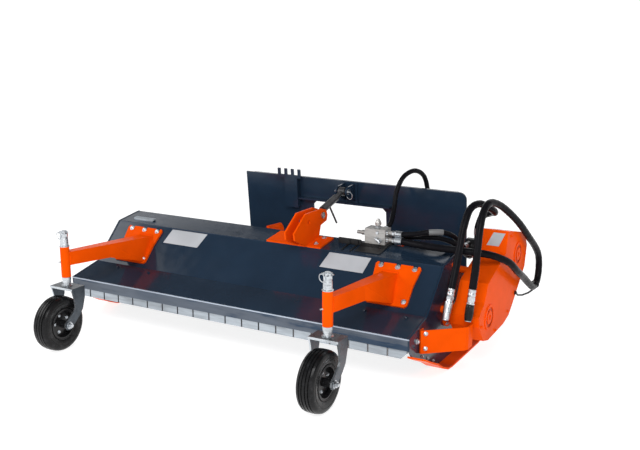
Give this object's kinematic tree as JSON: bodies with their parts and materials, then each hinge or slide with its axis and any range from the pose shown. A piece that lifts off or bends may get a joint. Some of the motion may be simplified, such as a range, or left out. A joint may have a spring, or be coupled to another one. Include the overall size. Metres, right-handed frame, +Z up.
{
  "type": "skid steer hammer flail mower",
  "caption": "Front-mounted hydraulic hammer flail mower with caster wheels, skids, rear roller, side belt drive and a tilting quick-attach plate held by a top link",
  "frame": {"origin": "on the ground, at the middle of the box around the whole mower without its hoses", "axes": "+Z up, -Y the mowing direction with the caster wheels, +Y toward the carrier, +X the belt drive side"},
  "size_m": [2.1619, 1.5458, 0.7736],
  "materials": {
    "navy_paint": "gloss dark navy paint",
    "orange_paint": "gloss orange paint",
    "zinc_plate": "bright zinc plating",
    "dark_steel": "dark machined steel",
    "valve_alloy": "milled aluminium",
    "tyre_rubber": "ribbed solid rubber",
    "black_paint": "satin black paint",
    "hose_rubber": "black sleeved hydraulic hose"
  },
  "bodies": {
    "deck": {"deck_shell": "navy_paint", "side_plate_left": "navy_paint", "side_plate_right": "navy_paint", "skid_left": "orange_paint", "skid_right": "orange_paint", "rotor_bearing_left": "black_paint", "rotor_bearing_right": "orange_paint", "caster_arm_left": "orange_paint", "caster_arm_right": "orange_paint", "rear_beam": "orange_paint", "hitch_arm_left": "orange_paint", "hitch_arm_right": "orange_paint", "top_link_tower": "orange_paint", "tower_pin": "zinc_plate", "drive_plate": "orange_paint", "belt_cover": "orange_paint", "hydraulic_motor": "black_paint", "corner_guard": "orange_paint", "valve_block": "valve_alloy", "valve_bracket": "black_paint", "supply_hose_a": "hose_rubber", "supply_hose_b": "hose_rubber", "motor_line_in": "hose_rubber", "motor_line_out": "hose_rubber", "drain_hose": "hose_rubber", "coupler_a": "zinc_plate", "coupler_b": "zinc_plate", "coupler_c": "zinc_plate"},
    "flap_row": {"front_flaps": "zinc_plate"},
    "hammer_rotor": {"rotor": "dark_steel"},
    "roller": {"rear_roller": "black_paint"},
    "swivel_fork_left": {"caster_fork_left": "zinc_plate", "caster_axle_left": "zinc_plate"},
    "swivel_fork_right": {"caster_fork_right": "zinc_plate", "caster_axle_right": "zinc_plate"},
    "wheel_left": {"wheel_rim_left": "black_paint", "wheel_tyre_left": "tyre_rubber"},
    "wheel_right": {"wheel_rim_right": "black_paint", "wheel_tyre_right": "tyre_rubber"},
    "hitch": {"attach_plate": "navy_paint", "hose_comb": "navy_paint", "top_link_ears": "navy_paint", "ear_pin": "zinc_plate", "hitch_pin_left": "zinc_plate", "hitch_pin_right": "zinc_plate"},
    "top_link_barrel": {"link_barrel": "dark_steel"},
    "top_link_rod": {"link_rod": "dark_steel"}
  },
  "joints": [
    {"name": "flap_swing", "type": "hinge", "parent": "deck", "child": "flap_row", "pos_m": [-0.067, -0.2383, 0.196], "axis": [1, 0, 0], "range_deg": [0, 65]},
    {"name": "rotor_spin", "type": "hinge", "parent": "deck", "child": "hammer_rotor", "pos_m": [-0.067, 0.1637, 0.222], "axis": [1, 0, 0], "continuous": true},
    {"name": "roller_spin", "type": "hinge", "parent": "deck", "child": "roller", "pos_m": [-0.067, 0.4557, 0.057], "axis": [1, 0, 0], "continuous": true},
    {"name": "swivel_left", "type": "hinge", "parent": "deck", "child": "swivel_fork_left", "pos_m": [-0.759, -0.5253, 0.29], "axis": [0, 0, 1], "continuous": true},
    {"name": "swivel_right", "type": "hinge", "parent": "deck", "child": "swivel_fork_right", "pos_m": [0.625, -0.5253, 0.29], "axis": [0, 0, 1], "continuous": true},
    {"name": "wheel_spin_left", "type": "hinge", "parent": "swivel_fork_left", "child": "wheel_left", "pos_m": [-0.759, -0.5943, 0.1275], "axis": [1, 0, 0], "continuous": true},
    {"name": "wheel_spin_right", "type": "hinge", "parent": "swivel_fork_right", "child": "wheel_right", "pos_m": [0.625, -0.5943, 0.1275], "axis": [1, 0, 0], "continuous": true},
    {"name": "hitch_tilt", "type": "hinge", "parent": "deck", "child": "hitch", "pos_m": [0.141, 0.5217, 0.25], "axis": [1, 0, 0], "range_deg": [-5, 5]},
    {"name": "link_swing", "type": "hinge", "parent": "deck", "child": "top_link_barrel", "pos_m": [0.141, 0.2517, 0.575], "axis": [1, 0, 0], "range_deg": [-2, 2]},
    {"name": "link_extend", "type": "slide", "parent": "top_link_barrel", "child": "top_link_rod", "axis": [0, 0.9679, 0.2512], "range_m": [-0.035, 0.035]}
  ],
  "couplings": [
    {"joint": "link_swing", "follows": "hitch_tilt", "ratio": 0.3361},
    {"joint": "link_extend", "follows": "hitch_tilt", "m_per_rad": -0.3824}
  ]
}
